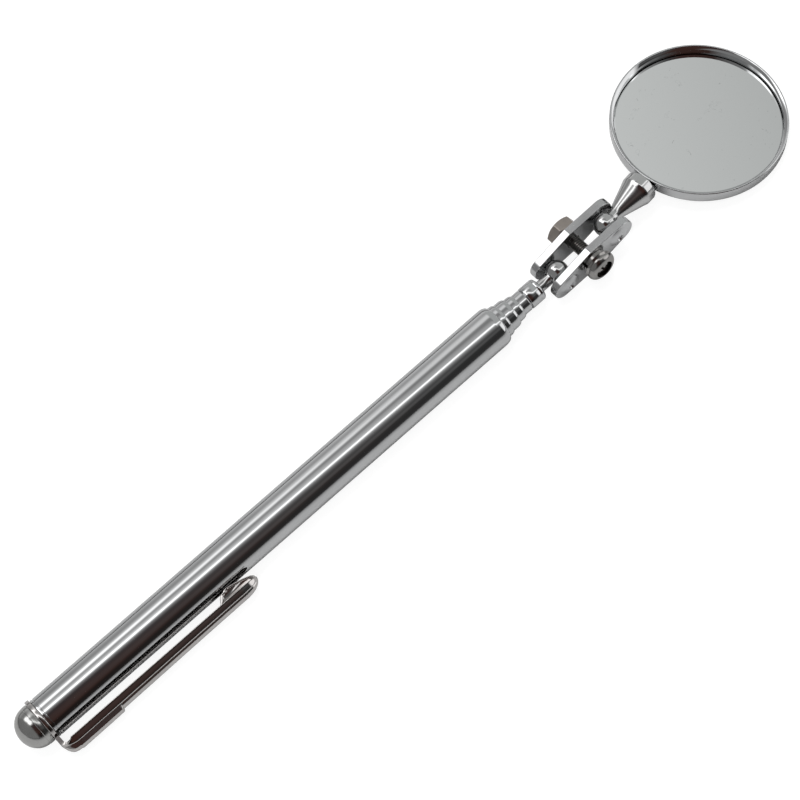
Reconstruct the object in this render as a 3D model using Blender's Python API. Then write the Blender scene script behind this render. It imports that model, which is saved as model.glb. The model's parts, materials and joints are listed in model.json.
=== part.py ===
"""Pocket telescoping inspection mirror, collapsed and lying on a table.

Metres, +Z up. The telescoping handle runs along +X with its pocket clip on the -Y side. Two clamp
plates pinch a ball at the handle's tip and a ball on the mirror's stud, pulled together by one screw.
Each subassembly is modelled about an empty on its own joint: the handle's axis, the handle's ball, the
mirror's ball and the mirror's disc. The last step centres the whole tool over the origin, on Z = 0.
"""

import math

import bmesh
import bpy
from mathutils import Matrix, Vector

MM = 0.001

# Handle: distances along X from the rear end of the handle tube, and radii, in millimetres.
TUBE_RADIUS = 4.0
TUBE_BORE = 3.5
TUBE_MOUTH = 106.6
RUNNING_GAP = 0.05

# The sliding stages, outermost first: (outer radius, bore radius, tail position, mouth position).
STAGES = {
    "stage_2_tube": (3.25, 3.08, 5.0, 107.9),
    "stage_3_tube": (2.93, 2.70, 6.0, 109.9),
    "stage_4_tube": (2.49, 2.30, 7.0, 111.5),
    "stage_5_tube": (2.14, 1.84, 8.0, 113.3),
}
SLEEVE_LENGTH = 8.0
SLEEVE_WALL = 0.15

# Joint between handle and mirror.
BALL_RADIUS = 2.2
HANDLE_BALL_X = 121.13
ROD_RADIUS = 1.1
BALL_SPACING = 12.3
CLAMP_RISE = math.radians(8.3)
PLATE_LENGTH = 19.2
PLATE_HALF_WIDTH = 3.2
PLATE_END_RADIUS = 2.3
PLATE_THICKNESS = 1.6
PLATE_GAP = 3.92
BOSS_RADIUS = 2.15
BOSS_HEIGHT = 0.6
SCREW_RADIUS = 1.3
WASHER_THICKNESS = 0.8
NUT_ACROSS_FLATS = 5.4
NUT_HEIGHT = 2.3

# Mirror head: how its stud leaves the clamp, and the disc at the stud's end.
STUD_YAW = math.radians(8.95)
STUD_DIP = math.radians(6.7)
STUD_TWIST = math.radians(5.3)
STUD_RADIUS = 3.14
MIRROR_RADIUS = 16.5
MIRROR_DEPTH = 3.0
MIRROR_WALL = 0.85
MIRROR_FLOOR = 0.4
STUD_TO_RIM_PLANE = 2.4
MIRROR_REACH = 27.84
GLASS_RECESS = 1.8
GLASS_THICKNESS = 0.6

# Pocket clip, on the -Y side: distances from the handle's axis.
CLIP_ROLL = math.radians(15.0)
CLIP_SHEET = 0.8
CLIP_ARM_END = 4.9
CLIP_ARM_HALF = 1.7
CLIP_EDGE = 5.75
CLIP_HEIGHT = 2.08
CLIP_HALF_WIDTH = 2.1
CLIP_BEND = 0.3
CLIP_STEP_X = 11.3
CLIP_STEP_RISE = 0.2
CLIP_TAPER_X = 39.5
CLIP_TIP_X = 43.6
CLIP_LOBE_HALF = 1.95
CLIP_WALL = 0.45
CLIP_PLANE_X = -0.6

DISC_STEPS = 64
FINE_STEPS = 40
MEDIUM_STEPS = 32
BALL_STEPS = 24


def clear_scene():
    for item in list(bpy.data.objects):
        bpy.data.objects.remove(item, do_unlink=True)


def material(name, color, roughness, metallic=1.0):
    made = bpy.data.materials.new(name)
    made.use_nodes = True
    shader = made.node_tree.nodes["Principled BSDF"]
    shader.inputs["Base Color"].default_value = (*color, 1.0)
    shader.inputs["Roughness"].default_value = roughness
    shader.inputs["Metallic"].default_value = metallic
    return made


def empty(name, parent=None, matrix=None):
    made = bpy.data.objects.new(name, None)
    bpy.context.scene.collection.objects.link(made)
    made.parent = parent
    if matrix is not None:
        made.matrix_local = matrix
    return made


def at(x=0.0, y=0.0, z=0.0):
    """A translation given in millimetres."""
    return Matrix.Translation(Vector((x, y, z)) * MM)


def finish_object(name, bm, parent, finish, matrix=None, sharp=32.0):
    """Turns a bmesh in millimetres into a shaded object under its parent empty."""
    bmesh.ops.scale(bm, vec=(MM, MM, MM), verts=bm.verts)
    mesh = bpy.data.meshes.new(name)
    bm.to_mesh(mesh)
    bm.free()
    mesh.shade_smooth()
    mesh.set_sharp_from_angle(angle=math.radians(sharp))
    mesh.materials.append(finish)
    made = bpy.data.objects.new(name, mesh)
    bpy.context.scene.collection.objects.link(made)
    made.parent = parent
    if matrix is not None:
        made.matrix_local = matrix
    return made


def arc(x, r, radius, start, end, count, squash=1.0):
    """Points on a rounded corner about (x, r), angles in degrees from +X; squash scales it along X."""
    points = []
    for i in range(count + 1):
        angle = math.radians(start + (end - start) * i / count)
        points.append((x + radius * squash * math.cos(angle), r + radius * math.sin(angle)))
    return points


def turned(outline, steps, loop=False):
    """Solid of revolution about X from (x, radius) points, closed at the axis or into a ring."""
    bm = bmesh.new()
    verts = [bm.verts.new((x, 0.0, r)) for x, r in outline]
    edges = [bm.edges.new(pair) for pair in zip(verts, verts[1:])]
    if loop:
        edges.append(bm.edges.new((verts[-1], verts[0])))
    bmesh.ops.spin(bm, geom=verts + edges, cent=(0, 0, 0), axis=(1, 0, 0), angle=2 * math.pi,
                   steps=steps, use_merge=True)
    bmesh.ops.remove_doubles(bm, verts=bm.verts, dist=1e-4)
    return face_out(bm)


def face_out(bm):
    """Makes every face of a closed shape look outwards."""
    bmesh.ops.recalc_face_normals(bm, faces=bm.faces)
    if bm.calc_volume(signed=True) < 0:
        bmesh.ops.reverse_faces(bm, faces=bm.faces)
    return bm


def extruded(outline, low, high):
    """Prism of an outline in the XZ plane, from y = low to y = high."""
    bm = bmesh.new()
    face = bm.faces.new([bm.verts.new((x, low, z)) for x, z in outline])
    grown = bmesh.ops.extrude_face_region(bm, geom=[face])["geom"]
    moved = [v for v in grown if isinstance(v, bmesh.types.BMVert)]
    bmesh.ops.translate(bm, vec=(0, high - low, 0), verts=moved)
    return face_out(bm)


def lofted(rings):
    """Skin through closed rings of the same number of points, capped at both ends."""
    bm = bmesh.new()
    rows = [[bm.verts.new(point) for point in ring] for ring in rings]
    count = len(rows[0])
    for first, second in zip(rows, rows[1:]):
        for i in range(count):
            k = (i + 1) % count
            bm.faces.new((first[i], first[k], second[k], second[i]))
    bm.faces.new(rows[0][::-1])
    bm.faces.new(rows[-1])
    return face_out(bm)


def cutter(name, bm, parent, matrix=None):
    """A hidden tool shape for a Boolean."""
    made = finish_object(name, bm, parent, bpy.data.materials["steel_plain"], matrix)
    made.hide_render = True
    made.display_type = "WIRE"
    return made


def boolean(target, tool, operation="DIFFERENCE"):
    modifier = target.modifiers.new(tool.name, "BOOLEAN")
    modifier.operation = operation
    modifier.object = tool


def bevel(target, width, segments=1, angle=40.0):
    modifier = target.modifiers.new("edge_round", "BEVEL")
    modifier.width = width * MM
    modifier.segments = segments
    modifier.limit_method = "ANGLE"
    modifier.angle_limit = math.radians(angle)


def cylinder_outline(low, high, radius):
    return [(low, 0.0), (low, radius), (high, radius), (high, 0.0)]


def along_y():
    """Turns a shape made about +X so that its axis runs along +Y."""
    return Matrix.Rotation(math.pi / 2, 4, "Z")


# Handle ------------------------------------------------------------------------------------------

def make_end_cap(axis, finish):
    seam, tip, back, spigot = -2.1, -5.63, -1.05, TUBE_BORE - 0.15
    dome = arc(seam, 0.0, TUBE_RADIUS - 0.03, 180, 90, 9, (seam - tip) / (TUBE_RADIUS - 0.03))
    rim = [(seam, TUBE_RADIUS), (back - 0.1, TUBE_RADIUS), (back, TUBE_RADIUS - 0.1)]
    plug = [(back, spigot), (3.8, spigot), (4.1, spigot - 0.3), (4.1, 0.0)]
    finish_object("end_cap", turned(dome + rim + plug, FINE_STEPS), axis, finish)


def make_handle_tube(axis, finish):
    groove, shoulder, lip = 0.25, 105.1, STAGES["stage_2_tube"][0] + RUNNING_GAP
    outside = [(-0.15, TUBE_RADIUS - 0.1), (0.0, TUBE_RADIUS), (groove, TUBE_RADIUS),
               (groove + 0.15, TUBE_RADIUS - 0.1), (groove + 0.3, TUBE_RADIUS), (shoulder, TUBE_RADIUS)]
    rolled = arc(shoulder, TUBE_RADIUS - 0.6, 0.6, 75, 0, 4, (TUBE_MOUTH - shoulder) / 0.6)
    inside = [(TUBE_MOUTH, lip), (TUBE_MOUTH - 1.0, lip), (TUBE_MOUTH - 1.4, TUBE_BORE),
              (-0.15, TUBE_BORE)]
    finish_object("handle_tube", turned(outside + rolled + inside, FINE_STEPS, loop=True), axis, finish)


def make_stage(name, parent, finish):
    """One sliding tube: a mouth rolled in to the next stage, and a necked tail for its sleeve."""
    radius, bore, tail, mouth = STAGES[name]
    names = list(STAGES)
    following = names[names.index(name) + 1:]
    lip = STAGES[following[0]][0] + RUNNING_GAP if following else bore
    seat = sleeve_radii(name)[0] - 0.03
    roll = 0.3
    neck_end = tail + SLEEVE_LENGTH + 0.3
    outside = [(tail, seat), (neck_end, seat), (neck_end, radius), (mouth - 0.7, radius)]
    rolled = arc(mouth - 0.7, radius - roll, roll, 70, 0, 4, 0.7 / roll)
    inside = [(mouth, lip), (mouth - 0.8, lip)] if following else [(mouth, bore)]
    inside += [(mouth - 1.1, bore)] if following else []
    inside += [(tail, bore)]
    finish_object(name, turned(outside + rolled + inside, MEDIUM_STEPS, loop=True), parent, finish)


def sleeve_radii(name):
    """Inner and outer radius of the friction sleeve on a stage's tail, inside the tube around it."""
    names = list(STAGES)
    place = names.index(name)
    around = TUBE_BORE if place == 0 else STAGES[names[place - 1]][1]
    outer = around - RUNNING_GAP
    return outer - SLEEVE_WALL, outer


def make_sleeve(name, parent, finish):
    inner, outer = sleeve_radii(name)
    start = STAGES[name][2] + 0.15
    end = start + SLEEVE_LENGTH
    ring = [(start, inner), (end, inner), (end, outer), (start, outer)]
    finish_object(name.replace("tube", "sleeve"), turned(ring, MEDIUM_STEPS, loop=True), parent, finish)


def make_ferrule(parent, finish):
    """Collar at the tip of the last stage, with a spigot in the tube and a bore for the rod."""
    spigot, collar, bore = STAGES["stage_5_tube"][1] - 0.06, 2.22, ROD_RADIUS + RUNNING_GAP
    back, start, nose = 109.5, STAGES["stage_5_tube"][3] + 0.1, 116.63
    outline = [(back, spigot), (start, spigot), (start, collar - 0.08), (start + 0.08, collar),
               (nose - 0.85, collar), (nose - 0.75, collar - 0.08), (nose - 0.65, collar)]
    outline += arc(nose - 0.5, collar - 0.5, 0.5, 75, 0, 4)
    outline += [(nose, bore), (back, bore)]
    finish_object("tip_ferrule", turned(outline, MEDIUM_STEPS, loop=True), parent, finish)


def make_handle_ball(pivot, finish):
    """Rod and ball in one piece, modelled about the ball's centre."""
    rod_start = 111.0 - HANDLE_BALL_X
    meeting = math.degrees(math.asin(ROD_RADIUS / BALL_RADIUS))
    outline = [(rod_start, 0.0), (rod_start, ROD_RADIUS - 0.15), (rod_start + 0.15, ROD_RADIUS)]
    outline += arc(0.0, 0.0, BALL_RADIUS, 180 - meeting, 0, 11)[:-1] + [(BALL_RADIUS, 0.0)]
    finish_object("handle_ball_stud", turned(outline, BALL_STEPS), pivot, finish)


# Pocket clip -------------------------------------------------------------------------------------

def lay_on_side():
    """Maps a side view (x across, z outwards) to the clip's place: outwards is -Y, width is Z."""
    return Matrix.Rotation(math.pi / 2, 4, "X")


def make_clip_ring(axis, finish):
    """Ring held between end cap and tube, with the root of the clip's arm."""
    half = CLIP_SHEET / 2
    ring = [(CLIP_PLANE_X - half, 3.42), (CLIP_PLANE_X + half, 3.42), (CLIP_PLANE_X + half, 4.38),
            (CLIP_PLANE_X - half, 4.38)]
    made = finish_object("clip_ring", turned(ring, MEDIUM_STEPS, loop=True), axis, finish)
    root = 3.9
    side = [(CLIP_PLANE_X - half, root), (CLIP_PLANE_X + half, root),
            (CLIP_PLANE_X + half, CLIP_ARM_END), (CLIP_PLANE_X - half, CLIP_ARM_END)]
    strip = extruded(side, -CLIP_ARM_HALF, CLIP_ARM_HALF)
    arm = cutter("clip_arm_shape", strip, axis, lay_on_side())
    boolean(made, arm, "UNION")


def clip_section(flat, rise, size):
    """Closed section of the blade as (width, height over its edge line).

    flat is 1 on the arm, which is plain strip, and 0 where the blade is a half-round channel."""
    outer = [(1.0, 0.0), (0.93, 0.2), (0.74, 0.55), (0.5, 0.76), (0.28, 0.91), (0.0, 1.0)]
    inner = [(0.78, 0.0), (0.7, 0.2), (0.5, 0.47), (0.26, 0.67), (0.0, 0.76)]
    narrow = 1 - flat * (1 - CLIP_ARM_HALF / CLIP_HALF_WIDTH)
    skin = []
    for w, h in outer:
        skin.append((w * CLIP_HALF_WIDTH * narrow, CLIP_HEIGHT * (h * rise * (1 - flat) + flat)))
    core = []
    for w, h in inner:
        wide = w + flat * w * (1 / inner[0][0] - 1)
        high = CLIP_HEIGHT * h * (1 - flat) + flat * (CLIP_HEIGHT - CLIP_SHEET)
        core.append((wide * CLIP_HALF_WIDTH * narrow, high))
    skin = [(w * size, h * size) for w, h in skin]
    core = [(w * size, h * size * min(1.0, 1.6 * size - 0.5)) for w, h in core]
    ring = skin + [(-w, h) for w, h in skin[-2::-1]]
    return ring + [(-w, h) for w, h in core] + core[-2::-1]


def clip_station(x, reach, turn, section):
    """Section set at (x, reach from the tube's axis), its height pointing back (0) to outwards (90)."""
    back, out = math.cos(math.radians(turn)), math.sin(math.radians(turn))
    return [(x - back * h, -(reach + out * h), w) for w, h in section]


def make_clip_blade(pivot, place, finish):
    """Arm end, bend and half-round blade, with two cheeks near its tip that press on the tube."""
    back = CLIP_PLANE_X - CLIP_SHEET / 2
    centre_x, centre_r = back + CLIP_HEIGHT + CLIP_BEND, CLIP_EDGE - CLIP_BEND
    rings = [clip_station(back + CLIP_HEIGHT, CLIP_ARM_END + 0.1, 0, clip_section(1, 1, 1))]
    for turn in range(0, 91, 15):
        angle = math.radians(turn)
        x = centre_x - CLIP_BEND * math.cos(angle)
        reach = centre_r + CLIP_BEND * math.sin(angle)
        flat = max(0.0, 1 - turn / 75)
        rings.append(clip_station(x, reach, turn, clip_section(flat, 1 + CLIP_STEP_RISE * (1 - flat), 1)))
    for x, rise in ((CLIP_STEP_X - 0.3, 1 + CLIP_STEP_RISE), (CLIP_STEP_X, 1.0), (CLIP_TAPER_X, 0.94)):
        rings.append(clip_station(x, CLIP_EDGE, 90, clip_section(0, rise, 1)))
    length = CLIP_TIP_X - CLIP_TAPER_X + 0.1
    for i in range(1, 8):
        along = i / 7
        x = CLIP_TAPER_X + (CLIP_TIP_X - CLIP_TAPER_X) * along
        size = math.sqrt(1 - ((x - CLIP_TAPER_X) / length) ** 2.5)
        rings.append(clip_station(x, CLIP_EDGE, 90, clip_section(0, 0.94, max(size, 0.3))))
    to_place = at(-place[0], -place[1], -place[2])
    made = finish_object("clip_blade", lofted(rings), pivot, finish, to_place)

    sole = TUBE_RADIUS - 0.05
    cheek = [(35.2, CLIP_EDGE + 0.2), (35.5, 5.6), (36.0, 4.9), (36.6, 4.3)]
    cheek += arc(38.0, sole + 1.3, 1.3, 235, 280, 5)
    cheek += [(39.6, 4.18), (41.2, 4.64), (42.6, 5.1), (43.1, 5.4), (43.2, CLIP_EDGE + 0.2)]
    block = extruded(cheek, -CLIP_LOBE_HALF, CLIP_LOBE_HALF)
    cheeks = cutter("clip_cheeks", block, pivot, to_place @ lay_on_side())
    boolean(made, cheeks, "UNION")
    inside = CLIP_LOBE_HALF - CLIP_WALL
    space = extruded([(34.5, 3.0), (42.2, 3.0), (42.2, CLIP_EDGE + 0.6), (34.5, CLIP_EDGE + 0.6)], -inside, inside)
    boolean(made, cutter("clip_space", space, pivot, to_place @ lay_on_side()))


# Clamp -------------------------------------------------------------------------------------------

def plate_outline():
    """Lozenge with round ends, widest at the screw, about the screw's axis."""
    centre = PLATE_LENGTH / 2 - PLATE_END_RADIUS
    reach = math.hypot(centre, PLATE_HALF_WIDTH)
    lean = math.degrees(math.atan2(PLATE_HALF_WIDTH, centre) - math.asin(PLATE_END_RADIUS / reach))
    end = arc(centre, 0.0, PLATE_END_RADIUS, 90 - lean, -(90 - lean), 12)
    other = [(-x, -z) for x, z in end]
    return [(0.0, PLATE_HALF_WIDTH)] + end + [(0.0, -PLATE_HALF_WIDTH)] + other


def make_plate(name, clamp, side, finish):
    """One clamp plate; side is +1 for the nut's plate and -1 for the screw head's."""
    inner, outer = PLATE_GAP / 2, PLATE_GAP / 2 + PLATE_THICKNESS
    low, high = sorted((side * inner, side * outer))
    made = finish_object(name, extruded(plate_outline(), low, high), clamp, finish,
                         at(BALL_SPACING / 2), sharp=25.0)
    bevel(made, 0.2)
    turn = at(BALL_SPACING / 2) @ along_y()
    dome = (BOSS_RADIUS ** 2 + BOSS_HEIGHT ** 2) / (2 * BOSS_HEIGHT)
    spread = math.degrees(math.asin(BOSS_RADIUS / dome)) * 0.97
    hole = turned(cylinder_outline(-outer - 1.0, outer + 1.0, SCREW_RADIUS + 0.15), BALL_STEPS)
    for end in (0, 1):
        spot = at(end * BALL_SPACING) @ Matrix.Rotation(side * math.pi / 2, 4, "Z")
        boss = [(inner + 0.4, 0.0), (inner + 0.4, BOSS_RADIUS), (outer, BOSS_RADIUS)]
        boss += arc(outer + BOSS_HEIGHT - dome, 0.0, dome, spread, 0, 6)
        boss_shape = cutter(f"{name}_boss_{end}", turned(boss, BALL_STEPS), clamp, spot)
        boolean(made, boss_shape, "UNION")
        seat = arc(0.0, 0.0, BALL_RADIUS + 0.1, 180, 0, 12)
        seat = [(-BALL_RADIUS - 0.1, 0.0)] + seat[1:-1] + [(BALL_RADIUS + 0.1, 0.0)]
        seat_shape = cutter(f"{name}_seat_{end}", turned(seat, BALL_STEPS), clamp, spot)
        boolean(made, seat_shape)
        pin = cutter(f"{name}_pin_{end}", turned(cylinder_outline(1.0, outer + 2.0, 0.7), 16), clamp, spot)
        boolean(made, pin)
    boolean(made, cutter(f"{name}_hole", hole, clamp, turn))


def make_screw(pivot, finish):
    """Pan-head cross-recess screw about its own axis, head towards -X before it is turned."""
    seat = -(PLATE_GAP / 2 + PLATE_THICKNESS + WASHER_THICKNESS + 0.1)
    head_radius, head_height = 2.95, 1.85
    top = seat - head_height
    dome = arc(top + 1.15, head_radius - 1.15, 1.15, 180, 90, 5)
    outline = [(top, 0.0)] + dome + [(seat, head_radius), (seat, SCREW_RADIUS), (6.3, SCREW_RADIUS),
                                     (6.55, SCREW_RADIUS - 0.25), (6.55, 0.0)]
    made = finish_object("clamp_screw", turned(outline, MEDIUM_STEPS), pivot, finish, along_y())
    for turn in (0, 1):
        bm = bmesh.new()
        bmesh.ops.create_cube(bm, size=1.0)
        bmesh.ops.scale(bm, vec=(2.0, 0.62, 3.1), verts=bm.verts)
        place = along_y() @ at(top) @ Matrix.Rotation(math.radians(25 + 90 * turn), 4, "X")
        boolean(made, cutter(f"screw_slot_{turn}", bm, pivot, place))


def make_washer(pivot, finish):
    """Split spring washer, cut through on one side."""
    start = -(PLATE_GAP / 2 + PLATE_THICKNESS + WASHER_THICKNESS + 0.05)
    ring = [(start, SCREW_RADIUS + 0.15), (start + WASHER_THICKNESS, SCREW_RADIUS + 0.15),
            (start + WASHER_THICKNESS, 2.5), (start, 2.5)]
    made = finish_object("lock_washer", turned(ring, MEDIUM_STEPS, loop=True), pivot, finish, along_y())
    bm = bmesh.new()
    bmesh.ops.create_cube(bm, size=1.0)
    bmesh.ops.scale(bm, vec=(3.0, 0.35, 3.0), verts=bm.verts)
    bmesh.ops.translate(bm, vec=(start + WASHER_THICKNESS / 2, 0, 2.0), verts=bm.verts)
    lean = Matrix.Rotation(math.radians(70), 4, "X")
    boolean(made, cutter("washer_split", bm, pivot, along_y() @ lean))


def make_nut(pivot, finish):
    start = PLATE_GAP / 2 + PLATE_THICKNESS + 0.05
    corner = NUT_ACROSS_FLATS / math.sqrt(3)
    hexagon = [(corner * math.cos(math.radians(60 * i + 17)), corner * math.sin(math.radians(60 * i + 17)))
               for i in range(6)]
    made = finish_object("hex_nut", extruded(hexagon, start, start + NUT_HEIGHT), pivot, finish)
    bevel(made, 0.22, 2)
    bore = turned(cylinder_outline(start - 1, start + NUT_HEIGHT + 1, SCREW_RADIUS + 0.08), BALL_STEPS)
    boolean(made, cutter("nut_bore", bore, pivot, along_y()))


# Mirror head -------------------------------------------------------------------------------------

def make_mirror_stud(pivot, finish):
    """Ball, neck, cone and foot in one piece, along +X from the ball's centre."""
    neck = 1.25
    meeting = math.degrees(math.asin(neck / BALL_RADIUS))
    ball = [(-BALL_RADIUS, 0.0)] + arc(0.0, 0.0, BALL_RADIUS, 180, meeting, 11)[1:]
    end = MIRROR_REACH - MIRROR_RADIUS - 0.1
    cone = [(3.1, 1.3), (8.3, 2.84)] + arc(9.3, STUD_RADIUS - 0.9, 0.9, 110, 90, 2)
    foot = arc(end - 0.6, STUD_RADIUS - 0.6, 0.6, 90, 0, 3) + [(end, 0.0)]
    finish_object("mirror_ball_stud", turned(ball + cone + foot, MEDIUM_STEPS), pivot, finish)


def make_mirror_frame(disc, finish):
    """Shallow round cup, modelled about the disc's axis with its rim plane at 0."""
    radius, back = MIRROR_RADIUS, -MIRROR_DEPTH
    inside = radius - MIRROR_WALL
    outline = [(back, 0.0), (back, radius - 0.9)]
    outline += arc(back + 0.9, radius - 0.9, 0.9, 165, 90, 4)
    outline += [(-0.2, radius), (0.0, radius - 0.2), (0.0, inside + 0.15), (-0.15, inside)]
    outline += [(back + MIRROR_FLOOR, inside), (back + MIRROR_FLOOR, 0.0)]
    finish_object("mirror_frame", turned(outline, DISC_STEPS), disc, finish, stand_up())


def make_disc(name, disc, low, high, radius, finish):
    edge = 0.1
    outline = [(low, 0.0), (low, radius), (high - edge, radius), (high, radius - edge), (high, 0.0)]
    finish_object(name, turned(outline, DISC_STEPS), disc, finish, stand_up())


def stand_up():
    """Turns a shape made about +X so that its axis points up."""
    return Matrix.Rotation(-math.pi / 2, 4, "Y")


# Assembly ----------------------------------------------------------------------------------------

def centre_on_origin(root):
    """Moves the tool so that its box is centred over the origin and rests on Z = 0."""
    bpy.context.view_layer.update()
    depsgraph = bpy.context.evaluated_depsgraph_get()
    corners = []
    for item in bpy.context.scene.objects:
        if item.type == "MESH" and not item.hide_render:
            shape = item.evaluated_get(depsgraph)
            corners += [shape.matrix_world @ v.co for v in shape.data.vertices]
    low = [min(c[i] for c in corners) for i in range(3)]
    high = [max(c[i] for c in corners) for i in range(3)]
    root.location = (-(low[0] + high[0]) / 2, -(low[1] + high[1]) / 2, -low[2])
    bpy.context.view_layer.update()


def build():
    clear_scene()
    chrome = material("chrome_tube", (0.72, 0.72, 0.73), 0.12)
    satin = material("satin_cap", (0.62, 0.63, 0.64), 0.28)
    material("steel_plain", (0.6, 0.6, 0.6), 0.3)
    clip_steel = material("clip_steel", (0.66, 0.64, 0.62), 0.18)
    plate_steel = material("plate_steel", (0.55, 0.56, 0.58), 0.32)
    ball_chrome = material("ball_chrome", (0.7, 0.7, 0.7), 0.1)
    screw_steel = material("screw_steel", (0.35, 0.34, 0.33), 0.22)
    nut_nickel = material("nut_nickel", (0.5, 0.44, 0.4), 0.35)
    brass = material("sleeve_brass", (0.75, 0.55, 0.25), 0.35)
    glass = material("mirror_silver", (0.7, 0.72, 0.72), 0.03)
    foam = material("backing_foam", (0.12, 0.12, 0.12), 0.9, 0.0)

    root = empty("tool")
    axis = empty("handle_axis", root)
    make_end_cap(axis, satin)
    make_handle_tube(axis, chrome)
    clip_axis = empty("clip_axis", axis, Matrix.Rotation(CLIP_ROLL, 4, "X"))
    make_clip_ring(clip_axis, clip_steel)
    hinge = (CLIP_PLANE_X, -(CLIP_ARM_END + 0.1), 0.0)
    clip_pivot = empty("clip_pivot", clip_axis, at(*hinge))
    make_clip_blade(clip_pivot, hinge, clip_steel)
    for name in STAGES:
        make_stage(name, axis, chrome)
        make_sleeve(name, axis, brass)
    make_ferrule(axis, chrome)

    ball_pivot = empty("handle_ball_pivot", axis, at(HANDLE_BALL_X))
    make_handle_ball(ball_pivot, ball_chrome)
    clamp = empty("clamp_pivot", ball_pivot, Matrix.Rotation(-CLAMP_RISE, 4, "Y"))
    make_plate("nut_side_plate", clamp, 1, plate_steel)
    make_plate("screw_side_plate", clamp, -1, plate_steel)
    screw_axis = empty("screw_axis", clamp, at(BALL_SPACING / 2))
    make_screw(screw_axis, screw_steel)
    make_washer(screw_axis, screw_steel)
    make_nut(screw_axis, nut_nickel)

    second_ball = Matrix.Rotation(-CLAMP_RISE, 4, "Y") @ at(BALL_SPACING)
    lean = Matrix.Rotation(STUD_YAW, 4, "Z") @ Matrix.Rotation(STUD_DIP, 4, "Y")
    lean = lean @ Matrix.Rotation(STUD_TWIST, 4, "X")
    stud_frame = Matrix.Translation(second_ball.translation) @ lean
    mirror_pivot = empty("mirror_pivot", ball_pivot, stud_frame)
    make_mirror_stud(mirror_pivot, ball_chrome)
    disc = empty("mirror_disc", mirror_pivot, at(MIRROR_REACH, 0.0, STUD_TO_RIM_PLANE))
    make_mirror_frame(disc, chrome)
    glass_back = -GLASS_RECESS - GLASS_THICKNESS
    make_disc("mirror_glass", disc, glass_back, -GLASS_RECESS, MIRROR_RADIUS - MIRROR_WALL - 0.1, glass)
    pad_low = -MIRROR_DEPTH + MIRROR_FLOOR + 0.05
    make_disc("backing_pad", disc, pad_low, glass_back - 0.05, MIRROR_RADIUS - MIRROR_WALL - 0.4, foam)
    centre_on_origin(root)


build()
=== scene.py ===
import json
import math

import bmesh
import bpy
from mathutils import Matrix, Vector


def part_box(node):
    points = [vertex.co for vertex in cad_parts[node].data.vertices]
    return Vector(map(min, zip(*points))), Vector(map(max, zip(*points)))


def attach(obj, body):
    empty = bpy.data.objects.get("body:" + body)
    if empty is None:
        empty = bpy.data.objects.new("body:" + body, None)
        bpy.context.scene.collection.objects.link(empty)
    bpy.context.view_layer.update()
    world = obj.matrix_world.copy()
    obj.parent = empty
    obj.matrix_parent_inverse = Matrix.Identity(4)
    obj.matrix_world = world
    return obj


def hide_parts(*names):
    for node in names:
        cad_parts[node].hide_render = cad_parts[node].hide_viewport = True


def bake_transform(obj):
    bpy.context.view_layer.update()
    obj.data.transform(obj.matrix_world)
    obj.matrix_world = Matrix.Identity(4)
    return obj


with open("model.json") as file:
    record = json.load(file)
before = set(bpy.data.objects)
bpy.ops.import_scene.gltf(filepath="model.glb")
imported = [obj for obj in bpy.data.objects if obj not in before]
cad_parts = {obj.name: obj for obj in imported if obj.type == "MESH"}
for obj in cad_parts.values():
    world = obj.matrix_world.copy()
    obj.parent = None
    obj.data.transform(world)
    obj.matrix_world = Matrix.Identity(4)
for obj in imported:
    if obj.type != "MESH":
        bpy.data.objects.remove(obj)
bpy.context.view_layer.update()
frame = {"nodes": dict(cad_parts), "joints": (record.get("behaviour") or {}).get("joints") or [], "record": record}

MM = 0.001

# Sizes in millimetres, the same as the solids'.
TUBE_RADIUS, TUBE_BORE, TUBE_MOUTH = 4.0, 3.5, 106.6

# The sliding stages, outermost first: (outer radius, bore radius, tail position, mouth position).
STAGES = {
    "stage_2_tube": (3.25, 3.08, 5.0, 107.9),
    "stage_3_tube": (2.93, 2.70, 6.0, 109.9),
    "stage_4_tube": (2.49, 2.30, 7.0, 111.5),
    "stage_5_tube": (2.14, 1.84, 8.0, 113.3),
}
RUNNING_GAP, SLEEVE_WALL, SEAT_DEPTH, SEAT_LENGTH = 0.05, 0.15, 0.03, 8.3
FERRULE_TAIL_X, FERRULE_NOSE_X, FERRULE_RADIUS = 109.5, 116.63, 2.22
HANDLE_BALL_X, ROD_TAIL_X = 121.13, 111.0
BALL_RADIUS, ROD_RADIUS = 2.2, 1.1
PLATE_LENGTH, PLATE_HALF_WIDTH, PLATE_END_RADIUS = 19.2, 3.2, 2.3
PLATE_THICKNESS, PLATE_GAP = 1.6, 3.92
BOSS_RADIUS, BOSS_HEIGHT = 2.15, 0.6
SCREW_RADIUS, SCREW_PITCH = 1.3, 0.45
SCREW_HEAD_RADIUS, SCREW_HEAD_HEIGHT, SCREW_FOOT = 2.95, 1.85, -6.55
WASHER_THICKNESS, WASHER_RADIUS, FACE_GAP = 0.8, 2.5, 0.05
NUT_ACROSS_FLATS, NUT_HEIGHT = 5.4, 2.3
STUD_RADIUS = 3.14
MIRROR_RADIUS, MIRROR_DEPTH, MIRROR_WALL, MIRROR_FLOOR = 16.5, 3.0, 0.85, 0.4
MIRROR_REACH = 27.84
GLASS_RECESS, GLASS_THICKNESS = 1.8, 0.6
CLIP_X, CLIP_SHEET, CLIP_ARM_HALF = -0.6, 0.8, 1.7
CLIP_EDGE, CLIP_HEIGHT, CLIP_HALF, CLIP_BEND = 5.75, 2.08, 2.1, 0.3
CLIP_STEP_X, CLIP_CROWN_LIFT, CLIP_TAPER_X, CLIP_TIP = 11.3, 0.42, 39.5, 43.6

# Degrees: the clip's roll about the handle, the nut's turn, the clamp's rise and the screw's turn.
CLIP_ROLL, NUT_TURN, CLAMP_RISE, CROSS_TURN = 15.0, 17, 8.3, 25

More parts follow.
